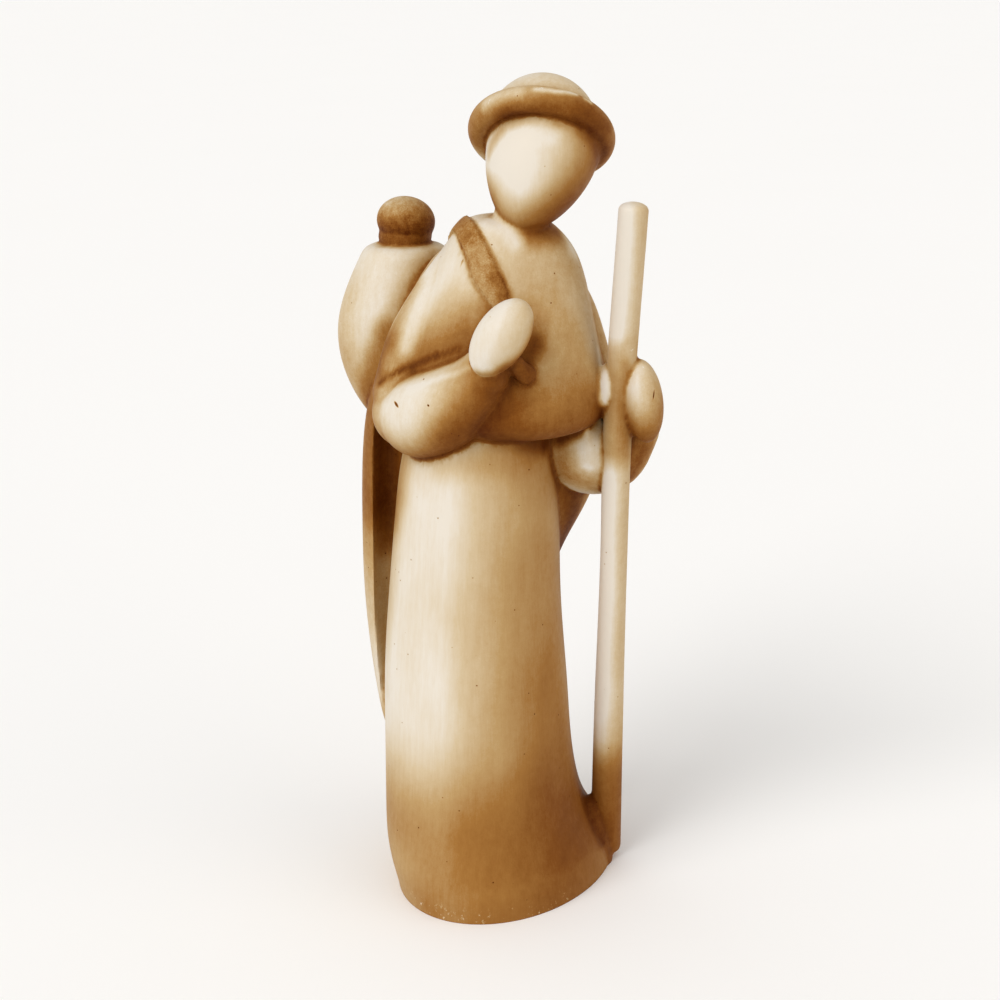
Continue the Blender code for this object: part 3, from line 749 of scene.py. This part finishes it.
def along_line(places, points, width):
    """How near each place is to a line through the points: 1 on it, easing to 0 at the width."""
    nearest = np.full(len(places), np.inf)
    for start, finish in zip(points, points[1:]):
        start, finish = np.array(start, float), np.array(finish, float)
        way = finish - start
        share = np.clip((places - start) @ way / (way @ way), 0.0, 1.0)
        nearest = np.minimum(nearest, np.linalg.norm(places - start - share[:, None] * way, axis=1))
    return eased(1.0 - nearest / width)


def mesh_arrays(mesh):
    """The mesh's places, normals and edges, and how many edges meet at each place."""
    count = len(mesh.vertices)
    places = np.empty(count * 3)
    mesh.vertices.foreach_get("co", places)
    normals = np.empty(count * 3)
    mesh.vertices.foreach_get("normal", normals)
    pairs = np.empty(len(mesh.edges) * 2, int)
    mesh.edges.foreach_get("vertices", pairs)
    meeting = np.bincount(pairs, minlength=count)
    return places.reshape(-1, 3), normals.reshape(-1, 3), pairs.reshape(-1, 2), meeting


def put_attribute(mesh, name, values):
    layer = mesh.attributes.new(name, "FLOAT", "POINT")
    layer.data.foreach_set("value", np.asarray(values, np.float32))


def stain(figure, tree, owners, names):
    """Works out the stain with its painted shade and highlights, and how mottled, proud and worn each
    place is, and keeps it all on the mesh.
    """
    mesh = figure.data
    places, normals, pairs, counts = mesh_arrays(mesh)
    fine = neighbour_means(places, pairs, counts, FINE_PASSES)
    broad = neighbour_means(fine, pairs, counts, BROAD_PASSES)
    crease = np.einsum("ij,ij->i", fine - places, normals) / MM
    dip = np.einsum("ij,ij->i", broad - places, normals) / MM

    form = np.array([owners[tree.find_nearest(Vector(place))[2]] for place in places])
    shares = {}
    for number, name in enumerate(names):
        shares[name] = neighbour_means((form == number).astype(float), pairs, counts, FORM_EDGE_PASSES)
    all_over, side_shade, mottled = (
        sum(FORM_STAIN_AND_SHADE[name][i] * share for name, share in shares.items()) for i in range(3)
    )

    def kept_to(forms):
        return 1.0 if forms is None else np.clip(sum(shares[name] for name in forms), 0.0, 1.0)

    grid = places / UNIT
    # Painted shade: what faces the figure's left, away from the key light, darkens by its form's side shade
    turned_away = np.clip((1.0 - normals[:, 0]) / (1.0 - SIDE_SHADE_START), 0.0, 1.0)
    clear = (1.0 - all_over) * (1.0 - side_shade * (1.0 - turned_away**2))
    # Sprayed stain, and painted shade along the lines of the shaded passes
    for strength, width, forms, line in SPRAYED_STAIN_AND_SHADE:
        clear *= 1.0 - strength * along_line(grid, line, width) * kept_to(forms)
    clear *= 1.0 - BRIM_STAIN * along_line(grid, brim_line(), BRIM_STAIN_WIDTH) * kept_to(("hat",))
    below = (GROUND_STAIN_TOP - grid[:, 2]) / (GROUND_STAIN_TOP - GROUND_STAIN_FULL)
    clear *= 1.0 - GROUND_STAIN * eased(below)
    # Stain and painted shade in the hollows and creases
    clear *= 1.0 - HOLLOW_STAIN_AND_SHADE * eased(dip / HOLLOW_DEPTH)
    clear *= 1.0 - CREASE_STAIN_AND_SHADE * eased(crease / CREASE_DEPTH)
    stain_and_shade = 1.0 - clear
    # Rubbed-back places and painted highlights take the stain away
    for strength, width, forms, line in RUBBED_AND_HIGHLIGHTS:
        stain_and_shade *= 1.0 - strength * along_line(grid, line, width) * kept_to(forms)
    # The stain value carries the painted shade and painted highlights too
    put_attribute(mesh, "stain", np.clip(stain_and_shade, 0.0, 1.0))
    put_attribute(mesh, "mottled", mottled)
    put_attribute(mesh, "proud", eased(-dip / PROUD_HEIGHT))
    worn = [along_line(grid, line, width) * kept_to(forms) for width, forms, line in WORN]
    put_attribute(mesh, "worn", np.clip(sum(worn), 0.0, 1.0))


# Sepia stain, used for the painted shade too, from bare limewood to the darkest brown
STAIN_AND_SHADE_COLOURS = (
    (0.0, (0.72, 0.662, 0.575, 1.0)),
    (0.1, (0.655, 0.562, 0.425, 1.0)),
    (0.2, (0.59, 0.465, 0.295, 1.0)),
    (0.4, (0.455, 0.292, 0.125, 1.0)),
    (0.6, (0.325, 0.15, 0.036, 1.0)),
    (0.8, (0.195, 0.063, 0.008, 1.0)),
    (1.0, (0.085, 0.017, 0.001, 1.0)),
)

# The wood's own figure: the tree's middle and the rings' spacing in millimetres, how fine each pattern is
# across and along the grain, per millimetre, the spacing, radius and share of the pits, and the heights
# between which the underside's own tone comes in. The wave texture's phase is 20 radians for each unit of
# distance.
PITH = (34.0, -26.0, 0.0)
WAVE_PHASE = 20.0
RING_SPACING = 1.5
RING_STRETCH = 0.08
FIBRE_FINENESS = (3.2, 0.16)
CLOUD_FINENESS = (0.11, 0.066)
MOTTLE_FINENESS = 0.75
SPECK_FINENESS = 3.6
FLECK_FINENESS = (1.3, 0.8)
FACET_FINENESS = 0.22
PIT_SPACING = 1.25
PIT_RADIUS = 0.16
PIT_SHARE = 0.075
UNDERSIDE_TOP = 0.12
UNDERSIDE_FULL = 0.02

# How much each pattern adds to the stain or takes from it
RING_TONE = 0.012
FIBRE_TONE = 0.034
CLOUD_TONE = 0.10
MOTTLE_TONE = 0.34
SPECK_TONE = 0.22
PIT_TONE = 0.50
NICK_TONE = 0.85
FLECK_TONE = 0.60
PROUD_TONE = 0.10
UNDERSIDE_TONE = 0.30

# Relief and satin wax
BUMP_HEIGHT = 0.09 * MM
WAX_ROUGHNESS = (0.38, 0.52)
WAX_GLOSS = 0.12
WAX_TINT = (1.0, 0.72, 0.42, 1.0)
STAIN_DULLING = 0.16
BARE_DULLING = 0.3


class Bench:
    """Lays out a material's nodes: each step gives the socket that the next one takes."""

    def __init__(self, material):
        material.use_nodes = True
        self.tree = material.node_tree
        self.tree.nodes.clear()
        self.count = 0

    def add(self, kind, output, links=(), **values):
        made = self.tree.nodes.new(kind)
        made.location = (180 * (self.count % 12), -260 * (self.count // 12))
        self.count += 1
        for name, value in values.items():
            setattr(made, name, value)
        for name, source in dict(links).items():
            if isinstance(source, bpy.types.NodeSocket):
                self.tree.links.new(source, made.inputs[name])
            else:
                made.inputs[name].default_value = source
        return made if output is None else made.outputs[output]

    def sum_of(self, operation, first, second, clamp=False):
        return self.add("ShaderNodeMath", 0, {0: first, 1: second}, operation=operation, use_clamp=clamp)

    def plus(self, total, value, amount, clamp=False):
        """The total with an amount of the value added."""
        return self.sum_of("ADD", total, self.sum_of("MULTIPLY", value, amount), clamp)

    def spread(self, value, low, high, new_low=0.0, new_high=1.0):
        ends = {"Value": value, "From Min": low, "From Max": high, "To Min": new_low, "To Max": new_high}
        return self.add("ShaderNodeMapRange", "Result", ends)

    def scaled(self, vector, across, up, place=(0.0, 0.0, 0.0)):
        values = {"Vector": vector, "Location": place, "Scale": (across, across, up)}
        return self.add("ShaderNodeMapping", "Vector", values)

    def noise(self, vector, scale, detail=2.0, roughness=0.5):
        values = {"Vector": vector, "Scale": scale, "Detail": detail, "Roughness": roughness}
        return self.add("ShaderNodeTexNoise", "Fac", values)

    def mark(self, vector, start, finish, half_width):
        """A mask of one small long mark between two places."""
        middle, way = (start + finish) / 2.0, finish - start
        half_length = way.length / 2.0 + half_width
        ends = {
            "Vector": vector,
            "Location": tuple(middle),
            "Rotation": tuple(way.to_track_quat("Z", "Y").to_euler()),
            "Scale": (half_width, half_width, half_length),
        }
        within = self.add("ShaderNodeMapping", "Vector", ends, vector_type="TEXTURE")
        off_centre = self.add("ShaderNodeVectorMath", "Value", {0: within}, operation="LENGTH")
        return self.spread(off_centre, 1.0, 0.5)

    def painted(self, name):
        return self.add("ShaderNodeAttribute", "Fac", attribute_name=name)


def open_pits(bench, spot_mm):
    """A mask of small round pits scattered through the wood."""
    cells = bench.add("ShaderNodeTexVoronoi", None, {"Vector": spot_mm, "Scale": 1.0 / PIT_SPACING})
    radius = PIT_RADIUS / PIT_SPACING
    near = bench.spread(cells.outputs["Distance"], radius, 0.5 * radius)
    draw = bench.add("ShaderNodeSeparateColor", 0, {0: cells.outputs["Color"]})
    return bench.sum_of("MULTIPLY", near, bench.sum_of("LESS_THAN", draw, PIT_SHARE))


def growth_rings(bench, spot_mm):
    """Rings about the pith, drawn out along the grain."""
    slow = bench.scaled(spot_mm, 1.0, RING_STRETCH)
    values = {
        "Vector": bench.scaled(slow, 1.0, 1.0, PITH),
        "Scale": 2.0 * math.pi / (WAVE_PHASE * RING_SPACING),
        "Distortion": 5.0,
        "Detail": 3.0,
        "Detail Scale": 0.15,
    }
    kind = {"wave_type": "RINGS", "rings_direction": "Z", "wave_profile": "SIN"}
    return bench.add("ShaderNodeTexWave", "Fac", values, **kind)


def knife_nicks(bench, spot_mm):
    """A mask of the small dark nicks."""
    facing = Matrix.Rotation(FACING_TURN, 3, "Z")
    nicks = 0.0
    for start, finish, half_width in NICKS:
        nick = bench.mark(spot_mm, facing @ Vector(start), facing @ Vector(finish), half_width)
        nicks = bench.sum_of("MAXIMUM", nick, nicks)
    return nicks


def stain_and_shade_colour(bench, total):
    ramp = bench.add("ShaderNodeValToRGB", None, {"Fac": total})
    for i, (place, colour) in enumerate(STAIN_AND_SHADE_COLOURS):
        stop = ramp.color_ramp.elements[i] if i < 2 else ramp.color_ramp.elements.new(place)
        stop.position = place
        stop.color = colour
    return ramp.outputs["Color"]


def stained_wood():
    """Limewood under sprayed stain with painted shade and highlights, and a thin satin wax: growth rings and
    fibre run up the figure, the stain is cloudy and speckled, pores show as dark pits, and worn edges are
    flecked."""
    wood = bpy.data.materials.new("stained_wood")
    bench = Bench(wood)
    spot = bench.add("ShaderNodeTexCoord", "Object")
    spot_mm = bench.scaled(spot, 1.0 / MM, 1.0 / MM)
    height = bench.add("ShaderNodeSeparateXYZ", "Z", {0: spot_mm})
    underside = bench.spread(height, UNDERSIDE_TOP, UNDERSIDE_FULL)

    # Patterns in the wood
    rings = growth_rings(bench, spot_mm)
    fibre = bench.noise(bench.scaled(spot_mm, *FIBRE_FINENESS), 1.0, 3.0, 0.6)
    cloud = bench.noise(bench.scaled(spot_mm, *CLOUD_FINENESS), 1.0, 3.0, 0.55)
    mottle = bench.noise(spot_mm, MOTTLE_FINENESS, 5.0, 0.68)
    speck = bench.noise(spot_mm, SPECK_FINENESS, 3.0, 0.7)
    pits = open_pits(bench, spot_mm)
    nicks = knife_nicks(bench, spot_mm)
    flecks = bench.spread(bench.noise(bench.scaled(spot_mm, *FLECK_FINENESS), 1.0, 4.0, 0.75), 0.60, 0.68)
    worn = bench.sum_of("MULTIPLY", bench.painted("worn"), flecks)

    # How much stain and painted shade each place holds: wood half way to dark is the most uneven,
    # bare wood the least
    stain_and_shade = bench.painted("stain")
    half_way = bench.sum_of("MULTIPLY", stain_and_shade, bench.sum_of("SUBTRACT", 1.25, stain_and_shade))
    uneven = bench.sum_of("MULTIPLY", bench.painted("mottled"), bench.spread(half_way, 0.0, 0.35, 0.10, 1.0))
    total = stain_and_shade
    for value, low, high, amount in (
        (rings, 0.0, 1.0, bench.spread(underside, 0.0, 1.0, RING_TONE, 3.0 * RING_TONE)),
        (fibre, 0.3, 0.7, FIBRE_TONE),
        (cloud, 0.25, 0.75, CLOUD_TONE),
        (mottle, 0.25, 0.75, bench.sum_of("MULTIPLY", uneven, MOTTLE_TONE)),
        (speck, 0.3, 0.7, bench.sum_of("MULTIPLY", uneven, SPECK_TONE)),
    ):
        total = bench.plus(total, bench.spread(value, low, high, -0.5, 0.5), amount)
    for value, amount in (
        (pits, PIT_TONE),
        (nicks, NICK_TONE),
        (underside, UNDERSIDE_TONE),
        (bench.painted("proud"), -PROUD_TONE),
    ):
        total = bench.plus(total, value, amount)
    total = bench.plus(total, worn, -FLECK_TONE, clamp=True)

    # Relief: soft facets left by the knife, fibre, pores and flecks
    relief = bench.noise(spot_mm, FACET_FINENESS, 1.0, 0.4)
    for value, amount in ((fibre, 0.05), (speck, 0.05), (pits, -0.8), (nicks, -0.8), (worn, -0.25)):
        relief = bench.plus(relief, value, amount)
    bump = bench.add("ShaderNodeBump", "Normal", {"Height": relief, "Distance": BUMP_HEIGHT, "Strength": 1.0})

    roughness = bench.spread(mottle, 0.3, 0.7, *WAX_ROUGHNESS)
    for value, amount in ((pits, BARE_DULLING), (underside, BARE_DULLING), (total, STAIN_DULLING)):
        roughness = bench.plus(roughness, value, amount)
    colour = stain_and_shade_colour(bench, total)
    looks = {"Base Color": colour, "Roughness": roughness, "Normal": bump}
    shader = bench.add("ShaderNodeBsdfPrincipled", "BSDF", looks)
    shader.node.inputs["Specular IOR Level"].default_value = WAX_GLOSS
    shader.node.inputs["Specular Tint"].default_value = WAX_TINT
    bench.add("ShaderNodeOutputMaterial", None, {"Surface": shader})
    return wood


# The floor's size in metres, its two shades of white and how fine its cloud and its tooth are, per metre
FLOOR_SIZE = 60.0
CARD_SHADES = ((0.945, 0.94, 0.932, 1.0), (0.955, 0.95, 0.945, 1.0))
CARD_CLOUD_FINENESS = 6.0
CARD_TOOTH_FINENESS = 900.0
CARD_TOOTH_HEIGHT = 0.02 * MM


def pale_floor():
    """A wide sheet of white card."""
    deselect_all()
    bpy.ops.mesh.primitive_plane_add(size=FLOOR_SIZE)
    floor = named("floor")
    card = bpy.data.materials.new("white_card")
    bench = Bench(card)
    spot = bench.add("ShaderNodeTexCoord", "Object")
    tooth = bench.noise(spot, CARD_TOOTH_FINENESS, 3.0, 0.6)
    cloud = bench.noise(spot, CARD_CLOUD_FINENESS, 2.0, 0.5)
    shades = {0: cloud, 6: CARD_SHADES[0], 7: CARD_SHADES[1]}
    shade = bench.add("ShaderNodeMix", 2, shades, data_type="RGBA")
    relief = {"Height": tooth, "Distance": CARD_TOOTH_HEIGHT, "Strength": 0.4}
    bump = bench.add("ShaderNodeBump", "Normal", relief)
    looks = {"Base Color": shade, "Roughness": 0.9, "Normal": bump}
    surface = bench.add("ShaderNodeBsdfPrincipled", "BSDF", looks)
    bench.add("ShaderNodeOutputMaterial", None, {"Surface": surface})
    floor.data.materials.append(card)


# The camera, in the figure's own frame: millimetres, radians and the lens and sensor in millimetres
CAMERA_AZIMUTH = math.radians(-20.0)
CAMERA_DISTANCE = 300.0
CAMERA_HEIGHT = 169.5
CAMERA_PITCH = math.radians(17.6)
CAMERA_LENS = 61.96
CAMERA_SENSOR = 36.0
CAMERA_NEAREST = 10.0 * MM


def photograph_camera():
    away = Vector((math.sin(CAMERA_AZIMUTH), -math.cos(CAMERA_AZIMUTH), 0.0)) * CAMERA_DISTANCE
    place = (away + Vector((0.0, 0.0, CAMERA_HEIGHT))) * MM
    bpy.ops.object.camera_add(location=place, rotation=(math.pi / 2 - CAMERA_PITCH, 0.0, CAMERA_AZIMUTH))
    camera = bpy.context.object
    camera.name = "camera"
    camera.data.lens = CAMERA_LENS
    camera.data.sensor_width = CAMERA_SENSOR
    camera.data.clip_start = CAMERA_NEAREST
    bpy.context.scene.camera = camera


# Studio light: an even white surround, a broad soft key from the upper left and a low warm reflector on the
# right. A light is its bearing from the camera's, its height and its spread in degrees, its strength and its
# colour.
LIGHTS = {
    "key": (-46.0, 38.0, 38.0, 1.55, (1.0, 0.985, 0.96)),
    "reflector": (62.0, 14.0, 60.0, 0.75, (1.0, 0.88, 0.70)),
}
SURROUND_STRENGTH = 0.66


def studio_light():
    for name, (bearing, height, spread, strength, colour) in LIGHTS.items():
        turn = CAMERA_AZIMUTH + math.radians(bearing)
        rise = math.radians(height)
        way = Vector((math.sin(turn) * math.cos(rise), -math.cos(turn) * math.cos(rise), math.sin(rise)))
        bpy.ops.object.light_add(type="SUN", location=way, rotation=way.to_track_quat("Z", "Y").to_euler())
        light = bpy.context.object
        light.name = name
        light.data.angle = math.radians(spread)
        light.data.energy = strength
        light.data.color = colour
    surround = bpy.data.worlds.new("surround")
    surround.use_nodes = True
    surround.node_tree.nodes["Background"].inputs["Color"].default_value = (1.0, 1.0, 1.0, 1.0)
    surround.node_tree.nodes["Background"].inputs["Strength"].default_value = SURROUND_STRENGTH
    bpy.context.scene.world = surround
    bpy.context.scene.view_settings.view_transform = "Standard"


def studio():
    pale_floor()
    photograph_camera()
    studio_light()


def shepherd():
    forms = rough_forms()
    names = [form.name for form in forms]
    tree, owners = surface_of(forms)
    figure = carve(forms)
    stain(figure, tree, owners, names)
    bpy.ops.object.mode_set(mode="EDIT")
    bpy.ops.mesh.select_all(action="SELECT")
    turn_selected(Matrix.Rotation(FACING_TURN, 3, "Z"), (0.0, 0.0, 0.0))
    bpy.ops.object.mode_set(mode="OBJECT")
    take(figure)
    bpy.ops.object.shade_smooth_by_angle(angle=SHARP_ANGLE)
    figure.data.materials.clear()
    figure.data.materials.append(stained_wood())
    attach(figure, "root")
    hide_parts("shepherd")
    return figure


shepherd()
studio()
